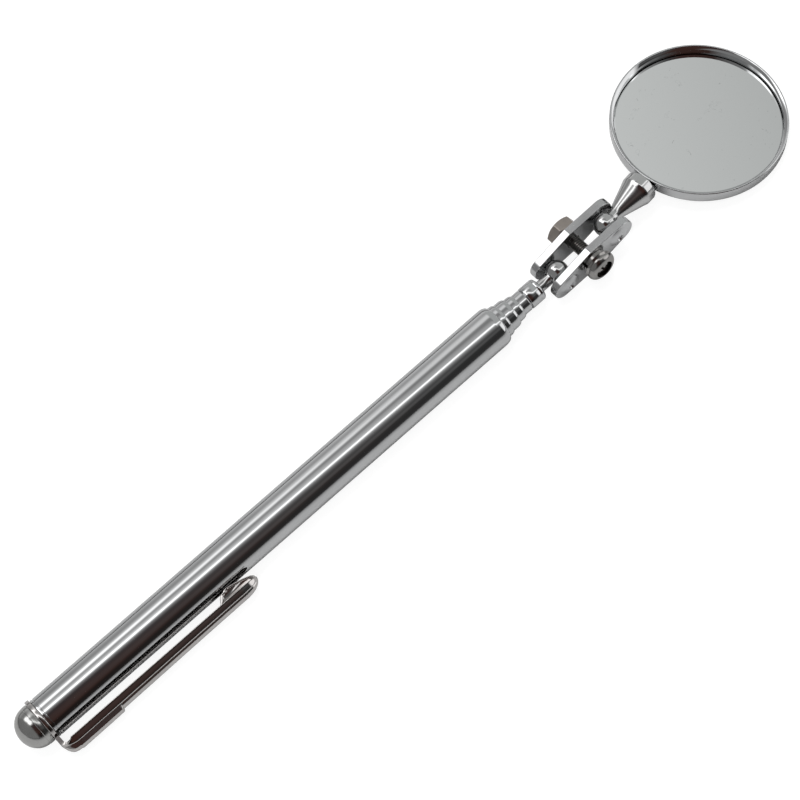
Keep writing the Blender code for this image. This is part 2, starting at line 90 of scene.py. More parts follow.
# Studio: the floor's shade and glow to the eye, the distance in metres over which its painted light falloff
# darkens its reflection, and the room's greys as the camera and as matt surfaces see it, before the world's
# strength.
FLOOR_SEEN, FLOOR_GLOW, FLOOR_FALLOFF_REACH = 0.18, 0.88, 0.2
WORLD_STRENGTH, BACKDROP_GREY, MATT_GREY = 3.0, 0.34, 0.03

# Camera: lens in millimetres, place from the handle's rear end in millimetres, and its right and back axes.
CAMERA_LENS, CAMERA_SENSOR = 126.0, 36.0
CAMERA_PLACE = (-8.89, -211.27, 443.11)
CAMERA_RIGHT, CAMERA_BACK = (0.74091, -0.65278, -0.15789), (-0.18567, -0.42502, 0.88594)


# Places ------------------------------------------------------------------------------------------

def joint(name):
    return next(j for j in frame["joints"] if j["name"] == name)


def basis(origin, x, z):
    """A placement with its X along x and its Z as near z as that allows."""
    x = Vector(x).normalized()
    y = Vector(z).cross(x).normalized()
    z = x.cross(y)
    turn = Matrix((x, y, z)).transposed().to_4x4()
    return Matrix.Translation(Vector(origin)) @ turn


BALL_1 = Vector(joint("tube_twist")["pos_m"])
BALL_2 = Vector(joint("mirror_tilt")["pos_m"])
SCREW = Vector(joint("screw_turn")["pos_m"])
STUD_AXIS = Vector(joint("mirror_spin")["axis"])
BACK = next(m for m in frame["record"]["mounts"] if m["name"] == "mirror_back")
FACE = -Vector(BACK["axis"])
REAR = Vector((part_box("handle_tube")[0].x + 0.15 * MM, BALL_1.y, BALL_1.z))
SPACING = (BALL_2 - BALL_1).length / MM

HANDLE = basis(REAR, (1, 0, 0), (0, 0, 1))
BALL_FRAME = basis(BALL_1, (1, 0, 0), (0, 0, 1))
CLAMP = basis(BALL_1, BALL_2 - BALL_1, (0, 0, 1))
SCREW_FRAME = basis(SCREW, (0, -1, 0), (0, 0, 1))
STUD = basis(BALL_2, STUD_AXIS, FACE)
DISC = basis(Vector(BACK["pos_m"]) + FACE * MIRROR_DEPTH * MM, FACE, (-1, 0, 0))


def at(x=0.0, y=0.0, z=0.0):
    return Matrix.Translation(Vector((x, y, z)) * MM)


# Mesh tools --------------------------------------------------------------------------------------

def arc(x, r, radius, start, end, count, squash=1.0):
    """Points on a round corner about (x, r), in degrees from +X; squash scales it along X."""
    points = []
    for i in range(count + 1):
        angle = math.radians(start + (end - start) * i / count)
        points.append((x + radius * squash * math.cos(angle), r + radius * math.sin(angle)))
    return points


def face_out(bm):
    bmesh.ops.recalc_face_normals(bm, faces=bm.faces)
    if bm.calc_volume(signed=True) < 0:
        bmesh.ops.reverse_faces(bm, faces=bm.faces)
    return bm


def turned(outline, steps=128, loop=False):
    """Solid of revolution about X from (x, radius) points."""
    bm = bmesh.new()
    verts = [bm.verts.new((x, 0.0, r)) for x, r in outline]
    edges = [bm.edges.new(pair) for pair in zip(verts, verts[1:])]
    if loop:
        edges.append(bm.edges.new((verts[-1], verts[0])))
    bmesh.ops.spin(bm, geom=verts + edges, cent=(0, 0, 0), axis=(1, 0, 0), angle=2 * math.pi,
                   steps=steps, use_merge=True)
    bmesh.ops.remove_doubles(bm, verts=bm.verts, dist=1e-4)
    return face_out(bm)


def extruded(outline, low, high):
    """Prism of an outline in the XZ plane, from y = low to y = high."""
    bm = bmesh.new()
    face = bm.faces.new([bm.verts.new((x, low, z)) for x, z in outline])
    grown = bmesh.ops.extrude_face_region(bm, geom=[face])["geom"]
    moved = [v for v in grown if isinstance(v, bmesh.types.BMVert)]
    bmesh.ops.translate(bm, vec=(0, high - low, 0), verts=moved)
    return face_out(bm)


def lofted(rings):
    """Skin through closed rings of points, with both ends capped."""
    bm = bmesh.new()
    rows = [[bm.verts.new(p) for p in ring] for ring in rings]
    count = len(rows[0])
    for a, b in zip(rows, rows[1:]):
        for i in range(count):
            k = (i + 1) % count
            bm.faces.new((a[i], a[k], b[k], b[i]))
    bm.faces.new(rows[0][::-1])
    bm.faces.new(rows[-1])
    return face_out(bm)


def helix_ridge(start, length, root, crest, pitch, steps=36, fade=0.75):
    """A thread's ridge wound about X, running out smoothly at both ends and sunk a little in the root."""
    rings = []
    total = int(length / pitch * steps)
    for k in range(total + 1):
        turn = 2 * math.pi * k / steps
        x = start + pitch * k / steps
        rise = min(1.0, k / (fade * steps), (total - k) / (fade * steps))
        top = root + (crest - root) * rise
        section = [(-0.46 * pitch, root), (-0.09 * pitch, top), (0.09 * pitch, top), (0.46 * pitch, root)]
        under = root - 0.12
        section += [(0.46 * pitch, under), (-0.46 * pitch, under)]
        rings.append([(x + dx, r * math.sin(turn), r * math.cos(turn)) for dx, r in section])
    return lofted(rings)


def joined(*parts):
    """One bmesh holding several shapes."""
    whole = bmesh.new()
    for part in parts:
        mesh = bpy.data.meshes.new("part")
        part.to_mesh(mesh)
        part.free()
        whole.from_mesh(mesh)
        bpy.data.meshes.remove(mesh)
    return whole


def new_object(name, bm, place):
    bmesh.ops.scale(bm, vec=(MM, MM, MM), verts=bm.verts)
    mesh = bpy.data.meshes.new(name)
    bm.to_mesh(mesh)
    bm.free()
    made = bpy.data.objects.new(name, mesh)
    bpy.context.scene.collection.objects.link(made)
    made.matrix_world = place
    return made


def bevelled(obj, width, segments=3, angle=35.0):
    modifier = obj.modifiers.new("edges", "BEVEL")
    modifier.width = width * MM
    modifier.segments = segments
    modifier.limit_method = "ANGLE"
    modifier.angle_limit = math.radians(angle)
    return obj


def carved(obj, tools, operation="DIFFERENCE"):
    for tool in tools:
        modifier = obj.modifiers.new(tool.name, "BOOLEAN")
        modifier.operation = operation
        modifier.object = tool
    return obj


def baked(obj, tools=()):
    """Applies the modifiers, and removes the tool objects."""
    bpy.context.view_layer.update()
    shape = obj.evaluated_get(bpy.context.evaluated_depsgraph_get())
    obj.data = bpy.data.meshes.new_from_object(shape)
    obj.modifiers.clear()
    for tool in tools:
        bpy.data.objects.remove(tool)
    return obj


def show(obj, body, finish, nodes=(), sharp=32.0, ride=True):
    """Shades a piece, gives it its finish, and puts it on its body, if it rides, in place of its solids."""
    obj.data.shade_smooth()
    obj.data.set_sharp_from_angle(angle=math.radians(sharp))
    obj.data.materials.clear()
    obj.data.materials.append(FINISHES[finish])
    if ride:
        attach(obj, body)
    if nodes:
        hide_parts(*nodes)
    return obj


# Finishes ----------------------------------------------------------------------------------------

class Tree:
    """Small helper for building a material's nodes."""

    def __init__(self, name):
        self.material = bpy.data.materials.new(name)
        self.material.use_nodes = True
        self.nodes = self.material.node_tree.nodes
        self.links = self.material.node_tree.links
        self.shader = self.nodes["Principled BSDF"]
        self.coordinates = self.nodes.new("ShaderNodeTexCoord").outputs["Object"]

    def stretched(self, scale):
        node = self.nodes.new("ShaderNodeMapping")
        node.inputs["Scale"].default_value = scale
        self.links.new(self.coordinates, node.inputs["Vector"])
        return node.outputs["Vector"]

    def noise(self, scale, detail=3.0, rough=0.55, stretch=(1, 1, 1)):
        node = self.nodes.new("ShaderNodeTexNoise")
        node.inputs["Scale"].default_value = scale
        node.inputs["Detail"].default_value = detail
        node.inputs["Roughness"].default_value = rough
        self.links.new(self.stretched(stretch), node.inputs["Vector"])
        return node.outputs["Fac"]

    def ramp(self, factor, stops):
        node = self.nodes.new("ShaderNodeValToRGB")
        elements = node.color_ramp.elements
        while len(elements) < len(stops):
            elements.new(0.5)
        for element, (position, value) in zip(elements, stops):
            element.position = position
            color = value if isinstance(value, tuple) else (value, value, value)
            element.color = (*color, 1.0)
        self.links.new(factor, node.inputs["Fac"])
        return node.outputs["Color"]

    def ranged(self, factor, low, high, start=0.3, end=0.7):
        node = self.nodes.new("ShaderNodeMapRange")
        node.inputs["From Min"].default_value = start
        node.inputs["From Max"].default_value = end
        node.inputs["To Min"].default_value = low
        node.inputs["To Max"].default_value = high
        self.links.new(factor, node.inputs["Value"])
        return node.outputs["Result"]

    def math(self, operation, a, b):
        node = self.nodes.new("ShaderNodeMath")
        node.operation = operation
        for socket, value in zip(node.inputs, (a, b)):
            if isinstance(value, (int, float)):
                socket.default_value = value
            else:
                self.links.new(value, socket)
        return node.outputs["Value"]

    def bump(self, height, distance, strength=1.0, below=None):
        node = self.nodes.new("ShaderNodeBump")
        node.inputs["Distance"].default_value = distance
        node.inputs["Strength"].default_value = strength
        self.links.new(height, node.inputs["Height"])
        if below is not None:
            self.links.new(below, node.inputs["Normal"])
        return node.outputs["Normal"]

    def use(self, socket, output):
        self.links.new(output, self.shader.inputs[socket])


def plated(name, color, shade, rough, grain=(1, 1, 1), grain_depth=1.2e-6, wave=2.0e-6, specks=0.0,
           spread=0.06):
    """Plated or turned metal: soft waviness, drawn or turned lines, hairlines, and pits if asked for."""
    tree = Tree(name)
    tree.shader.inputs["Metallic"].default_value = 1.0
    smudge = tree.noise(160.0, 4.0)
    lines = tree.noise(900.0, 4.0, 0.6, grain)
    hair = tree.ramp(tree.noise(420.0, 2.0, 0.7, grain), [(0.0, 0.0), (0.655, 0.0), (0.67, 1.0), (0.69, 0.0)])
    tint = tree.ramp(smudge, [(0.3, shade), (0.7, color)])
    if specks:
        pits = tree.ramp(tree.noise(5200.0, 2.0), [(0.0, 0.0), (0.66, 0.0), (0.74, 1.0)])
        mix = tree.nodes.new("ShaderNodeMix")
        mix.data_type = "RGBA"
        mix.inputs["B"].default_value = (*(c * 0.35 for c in shade), 1.0)
        tree.links.new(tree.math("MULTIPLY", pits, specks), mix.inputs["Factor"])
        tree.links.new(tint, mix.inputs["A"])
        tint = mix.outputs["Result"]
    tree.use("Base Color", tint)
    base = tree.ranged(smudge, rough, rough + spread)
    tree.use("Roughness", tree.math("ADD", base, tree.math("MULTIPLY", hair, 0.12)))
    normal = tree.bump(tree.noise(220.0, 2.0), wave)
    normal = tree.bump(lines, grain_depth, 1.0, normal)
    tree.use("Normal", tree.bump(hair, 1.0e-6, 0.6, normal))
    return tree.material


def silvered(name):
    """Silvered glass: a painted light gradient across it, brighter towards its own +Z and +Y, with faint hairlines
    and a little dust.
    """
    tree = Tree(name)
    tree.shader.inputs["Metallic"].default_value = 1.0
    tree.shader.inputs["Coat Weight"].default_value = 0.35
    tree.shader.inputs["Coat Roughness"].default_value = 0.02
    haze = tree.noise(90.0, 5.0)
    hair = tree.ramp(tree.noise(330.0, 3.0, 0.75), [(0.0, 0.0), (0.655, 0.0), (0.661, 0.7), (0.667, 0.0)])
    dust = tree.ramp(tree.noise(1500.0, 1.0), [(0.0, 0.0), (0.77, 0.0), (0.80, 0.35)])
    dark = tree.math("MAXIMUM", hair, dust)
    split = tree.nodes.new("ShaderNodeSeparateXYZ")
    tree.links.new(tree.coordinates, split.inputs[0])
    across = tree.math("ADD", tree.math("MULTIPLY", split.outputs["Z"], GLASS_PAINTED_LIGHT_SLOPE[0]),
                       tree.math("MULTIPLY", split.outputs["Y"], GLASS_PAINTED_LIGHT_SLOPE[1]))
    # Painted light: the silvering's colour brightens across the glass along its Z and Y.
    painted_light = tree.ramp(tree.math("ADD", across, 0.5), [(0.0, (0.74, 0.75, 0.75)), (1.0, (0.95, 0.96, 0.96))])
    mix = tree.nodes.new("ShaderNodeMix")
    mix.data_type = "RGBA"
    tree.links.new(dark, mix.inputs["Factor"])
    tree.links.new(painted_light, mix.inputs["A"])
    mix.inputs["B"].default_value = (0.42, 0.43, 0.43, 1.0)
    tree.use("Base Color", mix.outputs["Result"])
    tree.use("Roughness", tree.math("ADD", tree.ranged(haze, 0.015, 0.05), tree.math("MULTIPLY", dark, 0.3)))
    tree.use("Normal", tree.bump(hair, 1.0e-6, 0.5))
    return tree.material


def foam(name):
    tree = Tree(name)
    cells = tree.noise(2400.0, 4.0)
    tree.use("Base Color", tree.ramp(cells, [(0.35, (0.02, 0.02, 0.02)), (0.65, (0.09, 0.09, 0.09))]))
    tree.use("Roughness", tree.ranged(cells, 0.75, 0.95))
    tree.use("Normal", tree.bump(cells, 2.0e-4, 0.6))
    return tree.material


# How the glass's painted light gradient rises along its own Z and Y, per metre, and the stretch of drawn and
# turned grain.
GLASS_PAINTED_LIGHT_SLOPE = (22.0, 12.0)
ALONG = (0.02, 1, 1)
ROUND = (1, 0.03, 0.03)
EVEN = (1, 1, 1)
FINISHES = {
    "chrome_tube": plated(
        "chrome_tube", (0.60, 0.605, 0.61), (0.56, 0.565, 0.57), 0.025, ALONG, 0.7e-6, 1.2e-6),
    "satin_cap": plated(
        "satin_cap", (0.52, 0.52, 0.51), (0.44, 0.44, 0.43), 0.13, EVEN, 4.0e-6, 6.0e-6, specks=0.5),
    "clip_steel": plated(
        "clip_steel", (0.60, 0.58, 0.57), (0.52, 0.50, 0.49), 0.06, ALONG, 1.5e-6, 3.0e-6, specks=0.2),
    "plate_steel": plated(
        "plate_steel", (0.60, 0.605, 0.61), (0.52, 0.525, 0.53), 0.17, EVEN, 2.0e-6, 3.0e-6, specks=0.25),
    "ball_chrome": plated("ball_chrome", (0.58, 0.58, 0.58), (0.54, 0.54, 0.54), 0.07, ROUND, 2.2e-6),
    "screw_steel": plated(
        "screw_steel", (0.40, 0.39, 0.38), (0.27, 0.26, 0.25), 0.15, EVEN, 3.0e-6, 4.0e-6, specks=0.4),
    "nut_nickel": plated(
        "nut_nickel", (0.47, 0.42, 0.385), (0.34, 0.30, 0.275), 0.28, EVEN, 6.0e-6, 6.0e-6, specks=0.6),
    "sleeve_brass": plated("sleeve_brass", (0.75, 0.55, 0.25), (0.6, 0.42, 0.18), 0.3, ROUND, 3.0e-6),
    "mirror_silver": silvered("mirror_silver"),
    "backing_foam": foam("backing_foam"),
}


# Handle ------------------------------------------------------------------------------------------

def make_cap():
    seam, tip, back, spigot = -2.1, -5.63, -1.05, TUBE_BORE - 0.15
    dome = arc(seam, 0.0, TUBE_RADIUS - 0.06, 180, 90, 32, (seam - tip) / (TUBE_RADIUS - 0.06))
    rim = [(seam, TUBE_RADIUS - 0.08), (seam + 0.1, TUBE_RADIUS), (back - 0.15, TUBE_RADIUS)]
    rim += [(back - 0.05, TUBE_RADIUS - 0.04), (back, TUBE_RADIUS - 0.12)]
    plug = [(back, spigot), (3.8, spigot), (4.1, spigot - 0.3), (4.1, 0.0)]
    show(new_object("cap_dome", turned(dome + rim + plug), HANDLE), "handle", "satin_cap", ["end_cap"])


def make_tube():
    lip, shoulder = STAGES["stage_2_tube"][0] + RUNNING_GAP, 105.1
    outside = [(-0.15, TUBE_RADIUS - 0.12), (-0.1, TUBE_RADIUS - 0.03), (0.0, TUBE_RADIUS)]
    outside += [(0.25, TUBE_RADIUS)]
    outside += [(0.32, TUBE_RADIUS - 0.09), (0.46, TUBE_RADIUS - 0.09), (0.55, TUBE_RADIUS)]
    outside += [(shoulder * i / 12, TUBE_RADIUS) for i in range(1, 13)]
    rolled = arc(shoulder, TUBE_RADIUS - 0.6, 0.6, 84, 0, 14, (TUBE_MOUTH - shoulder) / 0.6)
    inside = [(TUBE_MOUTH - 0.05, lip + 0.02), (TUBE_MOUTH - 0.2, lip), (TUBE_MOUTH - 1.0, lip)]
    inside += [(TUBE_MOUTH - 1.4, TUBE_BORE), (-0.15, TUBE_BORE)]
    piece = new_object("tube_outer", turned(outside + rolled + inside, loop=True), HANDLE)
    show(piece, "handle", "chrome_tube", ["handle_tube"])


def make_stage(name, body, bulge):
    """A sliding tube, its mouth swaged round and drawn in to the next tube."""
    radius, bore, tail, mouth = STAGES[name]
    names = list(STAGES)
    following = names[names.index(name) + 1:]
    lip = STAGES[following[0]][0] + RUNNING_GAP if following else bore
    place = names.index(name)
    around = TUBE_BORE if place == 0 else STAGES[names[place - 1]][1]
    seat = around - RUNNING_GAP - SLEEVE_WALL - SEAT_DEPTH
    neck = tail + SEAT_LENGTH
    outside = [(tail, seat), (neck, seat), (neck + 0.05, radius - 0.03), (neck + 0.12, radius)]
    outside += [(neck + (mouth - bulge - neck) * i / 8, radius) for i in range(1, 9)]
    drop = 0.34
    rolled = arc(mouth - bulge, radius - drop, drop, 84, 0, 14, bulge / drop)
    inside = [(mouth - 0.02, lip + 0.01)] if following else []
    inside += [(mouth - 0.1, lip), (mouth - 0.8, lip), (mouth - 1.1, bore)] if following else [(mouth, bore)]
    inside += [(tail, bore)]
    piece = new_object(name.replace("tube", "swaged"), turned(outside + rolled + inside, loop=True), HANDLE)
    show(piece, body, "chrome_tube", [name])


def make_ferrule():
    spigot, collar = STAGES["stage_5_tube"][1] - 0.06, FERRULE_RADIUS
    bore = ROD_RADIUS + RUNNING_GAP
    back, start, nose = FERRULE_TAIL_X, STAGES["stage_5_tube"][3] + 0.1, FERRULE_NOSE_X
    outline = [(back, spigot), (start, spigot), (start, collar - 0.14), (start + 0.05, collar - 0.04)]
    outline += [(start + 0.13, collar), (nose - 0.98, collar), (nose - 0.9, collar - 0.05)]
    outline += [(nose - 0.8, collar - 0.05), (nose - 0.72, collar - 0.01)]
    outline += arc(nose - 0.55, collar - 0.55, 0.55, 80, 8, 10)
    outline += [(nose, bore + 0.35), (nose - 0.12, bore + 0.1), (nose - 0.2, bore), (back, bore)]
    piece = new_object("tip_collar", turned(outline, loop=True), HANDLE)
    show(piece, "stage_5", "chrome_tube", ["tip_ferrule"])


def make_rod():
    start = ROD_TAIL_X - HANDLE_BALL_X
    meeting = math.degrees(math.asin(ROD_RADIUS / BALL_RADIUS))
    outline = [(start, 0.0), (start, ROD_RADIUS - 0.15), (start + 0.15, ROD_RADIUS)]
    outline += [(start + (-BALL_RADIUS - start) * i / 6, ROD_RADIUS) for i in range(1, 6)]
    outline += [(-BALL_RADIUS * math.cos(math.radians(meeting)) - 0.1, ROD_RADIUS)]
    outline += arc(0.0, 0.0, BALL_RADIUS, 180 - meeting - 1.5, 0, 40)[:-1] + [(BALL_RADIUS, 0.0)]
    piece = new_object("rod_and_ball", turned(outline), BALL_FRAME)
    show(piece, "handle_ball", "ball_chrome", ["handle_ball_stud"])


# Pocket clip -------------------------------------------------------------------------------------

def smooth(t):
    t = max(0.0, min(1.0, t))
    return t * t * (3 - 2 * t)


def clip_section(flat, lift, size=1.0, height=1.0):
    """Closed section of the blade: (width, height over its edge line), fluted below its crown.

    flat is 1 on the arm, which is plain strip; lift raises the crown; size shrinks the whole section."""
    outer = [(2.06, -0.02), (2.10, 0.03), (2.11, 0.10), (2.08, 0.17), (2.03, 0.22), (1.98, 0.32),
             (1.92, 0.46), (1.84, 0.63), (1.75, 0.81), (1.66, 0.98), (1.57, 1.13), (1.52, 1.19),
             (1.44, 1.24), (1.35, 1.28), (1.29, 1.29), (1.25, 1.26), (1.21, 1.25), (1.17, 1.31),
             (1.12, 1.42), (1.07, 1.53), (1.02, 1.60), (0.94, 1.68), (0.80, 1.78), (0.62, 1.89),
             (0.42, 1.98), (0.21, 2.05), (0.0, 2.08)]
    inner = [(1.72, 0.0), (1.66, 0.06), (1.60, 0.35), (1.50, 0.62), (1.34, 0.90), (1.10, 1.14),
             (0.80, 1.36), (0.42, 1.54), (0.0, 1.62)]
    narrow = 1 - flat * (1 - CLIP_ARM_HALF / CLIP_HALF)
    skin, core = [], []
    for w, h in outer:
        high = h + lift * CLIP_CROWN_LIFT * smooth((h - 1.3) / 0.35)
        high = high * height * (1 - flat) + flat * (CLIP_HEIGHT - 0.05 * (w / CLIP_HALF) ** 10)
        skin.append((w * narrow * size, high * size))
    for w, h in inner:
        wide = (w + flat * w * (CLIP_HALF / inner[0][0] - 1)) * narrow
        high = h * (1 - flat) + flat * (CLIP_HEIGHT - CLIP_SHEET + 0.05 * (w / 1.72) ** 10)
        core.append((wide * size, high * size * max(0.0, min(1.0, 1.6 * size - 0.5))))
    ring = skin + [(-w, h) for w, h in skin[-2::-1]]
    return ring + [(-w, h) for w, h in core] + core[-2::-1]


def clip_station(x, reach, turn, section):
    """Section set at (x, reach from the tube's axis), its height pointing back (0) to outwards (90)."""
    back, out = math.cos(math.radians(turn)), math.sin(math.radians(turn))
    return [(x - back * h, -(reach + out * h), w) for w, h in section]


def clip_shell():
    """Arm, bend and blade in one skin."""
    back = CLIP_X - CLIP_SHEET / 2
    centre_x, centre_r = back + CLIP_HEIGHT + CLIP_BEND, CLIP_EDGE - CLIP_BEND
    rings = [clip_station(back + CLIP_HEIGHT, r, 0, clip_section(1, 0)) for r in (4.1, 4.4, 4.7, 5.0, 5.25)]
    for turn in range(0, 91, 6):
        angle = math.radians(turn)
        flat = 1 - smooth(turn / 66)
        place = (centre_x - CLIP_BEND * math.cos(angle), centre_r + CLIP_BEND * math.sin(angle), turn)
        rings.append(clip_station(*place, clip_section(flat, 1 - flat)))
    stops = [1.8 + 0.7 * i for i in range(13)]
    stops += [CLIP_STEP_X - d for d in (0.7, 0.5, 0.35, 0.25, 0.15, 0.07, 0)]
    stops += [CLIP_STEP_X + 0.4 + 1.1 * i for i in range(26)]
    for x in stops + [CLIP_TAPER_X + 0.2 * i for i in range(20)] + [43.45, 43.52, 43.56, 43.6]:
        lift = math.sqrt(max(0.0, min(1.0, (CLIP_STEP_X - x) / 0.35)))
        along = max(0.0, (x - CLIP_TAPER_X) / (CLIP_TIP - CLIP_TAPER_X + 0.04))
        size = math.sqrt(max(0.0, 1 - along ** 2.5))
        height = 1.06 - 0.12 * smooth(x / CLIP_TAPER_X)
        rings.append(clip_station(x, CLIP_EDGE, 90, clip_section(0, lift, max(size, 0.12), height)))
    return lofted(rings)


def clip_cheek(side):
    """One cheek of the clip's foot: a rolled rim round a sunk, wrinkled panel."""
    sole = TUBE_RADIUS - 0.05
    outline = [(35.0, 5.9), (35.25, 5.75), (35.5, 5.55), (35.75, 5.25), (36.0, 4.9), (36.3, 4.58)]
    outline += [(36.6, 4.3)]
    outline += arc(38.0, sole + 1.3, 1.3, 228, 282, 8)
    outline += [(38.9, 4.06), (39.6, 4.2), (40.4, 4.4), (41.2, 4.64), (42.0, 4.9), (42.6, 5.1)]
    outline += [(43.05, 5.35), (43.3, 5.65), (43.35, 5.9)]
    middle = (39.3, 5.55)
    rings = []
    for inward, w in ((0.02, 1.52), (0.0, 1.60), (0.0, 1.84), (0.06, 1.92), (0.16, 1.95), (0.26, 1.92),
                      (0.34, 1.84), (0.40, 1.74), (0.55, 1.70)):
        ring = []
        for x, r in outline:
            dx, dr = middle[0] - x, middle[1] - r
            reach = math.hypot(dx * 0.6, dr) + 0.01
            step = min(0.9, inward / reach)
            lean = 0.22 - 0.24 * (r - 4.0) if inward > 0.5 else 0.0
            wrinkle = 0.07 * math.sin(x * 5.3) * math.sin(x * 1.7) if inward > 0.5 else 0.0
            ring.append((x + dx * step, -(r + dr * step), side * (w + lean + wrinkle)))
        rings.append(ring)
    return lofted(rings)


def make_clip():
    ring = [(-1.0, 3.42), (-0.2, 3.42), (-0.2, 4.26)] + arc(-0.32, 4.26, 0.12, 0, 90, 4)[1:]
    ring += arc(-0.88, 4.26, 0.12, 90, 180, 4)
    bm = joined(clip_shell(), clip_cheek(1), clip_cheek(-1), turned(ring, loop=True))
    place = HANDLE @ Matrix.Rotation(math.radians(CLIP_ROLL), 4, "X")
    clip = new_object("pocket_clip", bm, place)
    show(clip, "clip", "clip_steel", sharp=38.0, ride=False)
    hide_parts("clip_ring", "clip_blade")
    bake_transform(clip)


# Clamp -------------------------------------------------------------------------------------------

def plate_outline():
    centre = PLATE_LENGTH / 2 - PLATE_END_RADIUS
    reach = math.hypot(centre, PLATE_HALF_WIDTH)
    lean = math.degrees(math.atan2(PLATE_HALF_WIDTH, centre) - math.asin(PLATE_END_RADIUS / reach))
    end = arc(centre, 0.0, PLATE_END_RADIUS, 90 - lean, lean - 90, 30)
    return [(0.0, PLATE_HALF_WIDTH)] + end + [(0.0, -PLATE_HALF_WIDTH)] + [(-x, -z) for x, z in end]


def make_plate(name, side, node):
    inner, outer = PLATE_GAP / 2, PLATE_GAP / 2 + PLATE_THICKNESS
    low, high = sorted((side * inner, side * outer))
    middle = CLAMP @ at(SPACING / 2)
    plate = bevelled(new_object(name, extruded(plate_outline(), low, high), middle), 0.13)
    plate = baked(plate)
    dome = (BOSS_RADIUS ** 2 + BOSS_HEIGHT ** 2) / (2 * BOSS_HEIGHT)
    spread = math.degrees(math.asin(BOSS_RADIUS / dome))
    bosses, cuts = [], []
    for end in (0, 1):
        spot = CLAMP @ at(end * SPACING) @ Matrix.Rotation(side * math.pi / 2, 4, "Z")
        boss = [(inner + 0.5, 0.0), (inner + 0.5, BOSS_RADIUS + 0.2), (outer - 0.02, BOSS_RADIUS + 0.2)]
        boss += arc(outer + BOSS_HEIGHT - dome, 0.0, dome, spread * 0.99, 0, 16)
        bosses.append(new_object(f"boss_{end}", turned(boss, 64), spot))
        seat = [(-BALL_RADIUS - 0.1, 0.0)] + arc(0.0, 0.0, BALL_RADIUS + 0.1, 180, 0, 32)[1:-1]
        cuts.append(new_object(f"seat_{end}", turned(seat + [(BALL_RADIUS + 0.1, 0.0)], 64), spot))
        pin = [(outer + 0.16, 0.0), (outer + 0.22, 0.50), (outer + 0.42, 0.62), (outer + 0.75, 0.90)]
        pin += [(outer + 2.0, 0.90), (outer + 2.0, 0.0)]
        cuts.append(new_object(f"pin_{end}", turned(pin, 48), spot))
    hole = [(-9.0, 0.0), (-9.0, SCREW_RADIUS + 0.15), (9.0, SCREW_RADIUS + 0.15), (9.0, 0.0)]
    cuts.append(new_object("hole", turned(hole, 64), middle @ Matrix.Rotation(math.pi / 2, 4, "Z")))
    carved(plate, bosses, "UNION")
    carved(plate, cuts)
    show(baked(plate, bosses + cuts), "clamp", "plate_steel", [node], sharp=12.0)


def make_screw():
    seat = PLATE_GAP / 2 + PLATE_THICKNESS + WASHER_THICKNESS + 0.1
    radius, top, foot = SCREW_HEAD_RADIUS, seat + SCREW_HEAD_HEIGHT, SCREW_FOOT
    root = SCREW_RADIUS - 0.40
    outline = [(foot, 0.0), (foot, root - 0.25), (foot + 0.3, root), (seat - 0.2, root), (seat, root + 0.2)]
    outline += [(seat, radius - 0.15), (seat + 0.15, radius)]
    outline += arc(top - 1.15, radius - 1.15, 1.15, 0, 90, 16)
    screw = new_object("screw_body", turned(outline + [(top + 0.02, 0.0)]), SCREW_FRAME)
    cuts = []
    for turn in (0, 1):
        slot = [(top - 0.85, -0.18), (top - 0.6, -0.6), (top + 0.1, -1.25), (top + 0.5, -1.4),
                (top + 0.5, 1.4), (top + 0.1, 1.25), (top - 0.6, 0.6), (top - 0.85, 0.18)]
        blade = extruded(slot, -0.22, 0.22)
        rotation = Matrix.Rotation(math.radians(CROSS_TURN + 90 * turn), 4, "X")
        cuts.append(new_object(f"cross_{turn}", blade, SCREW_FRAME @ rotation))
    cone = [(top - 0.9, 0.0), (top - 0.75, 0.25), (top + 0.3, 0.55), (top + 0.3, 0.0)]
    cuts.append(new_object("cross_2", turned(cone, 32), SCREW_FRAME))
    carved(screw, cuts)
    baked(screw, cuts)
    ridge = helix_ridge(foot + 0.25, seat - foot - 0.5, root, SCREW_RADIUS, SCREW_PITCH)
    thread = new_object("thread", ridge, SCREW_FRAME)
    bm = bmesh.new()
    bm.from_mesh(screw.data)
    bm.from_mesh(thread.data)
    bm.to_mesh(screw.data)
    bm.free()
    bpy.data.objects.remove(thread)
    show(screw, "screw", "screw_steel", ["clamp_screw"], sharp=28.0)


def make_washer():
    """Spring washer: one square-section turn whose ends stand slightly apart."""
    low = PLATE_GAP / 2 + PLATE_THICKNESS + FACE_GAP
    high = low + WASHER_THICKNESS
    r0, r1, e = SCREW_RADIUS + 0.15, WASHER_RADIUS, 0.08
    first, sweep, steps = -54, 344, 96
    rings = []
    for i in range(steps + 1):
        turn = math.radians(first + sweep * i / steps)
        lift = 0.08 * (i / steps - 0.5)
        section = [(low + e, r0), (high - e, r0), (high, r0 + e), (high, r1 - e), (high - e, r1),
                   (low + e, r1), (low, r1 - e), (low, r0 + e)]
        rings.append([(x + lift * 0.4, r * math.sin(turn), r * math.cos(turn)) for x, r in section])
    washer = new_object("spring_washer", lofted(rings), SCREW_FRAME)
    show(washer, "clamp", "screw_steel", ["lock_washer"])


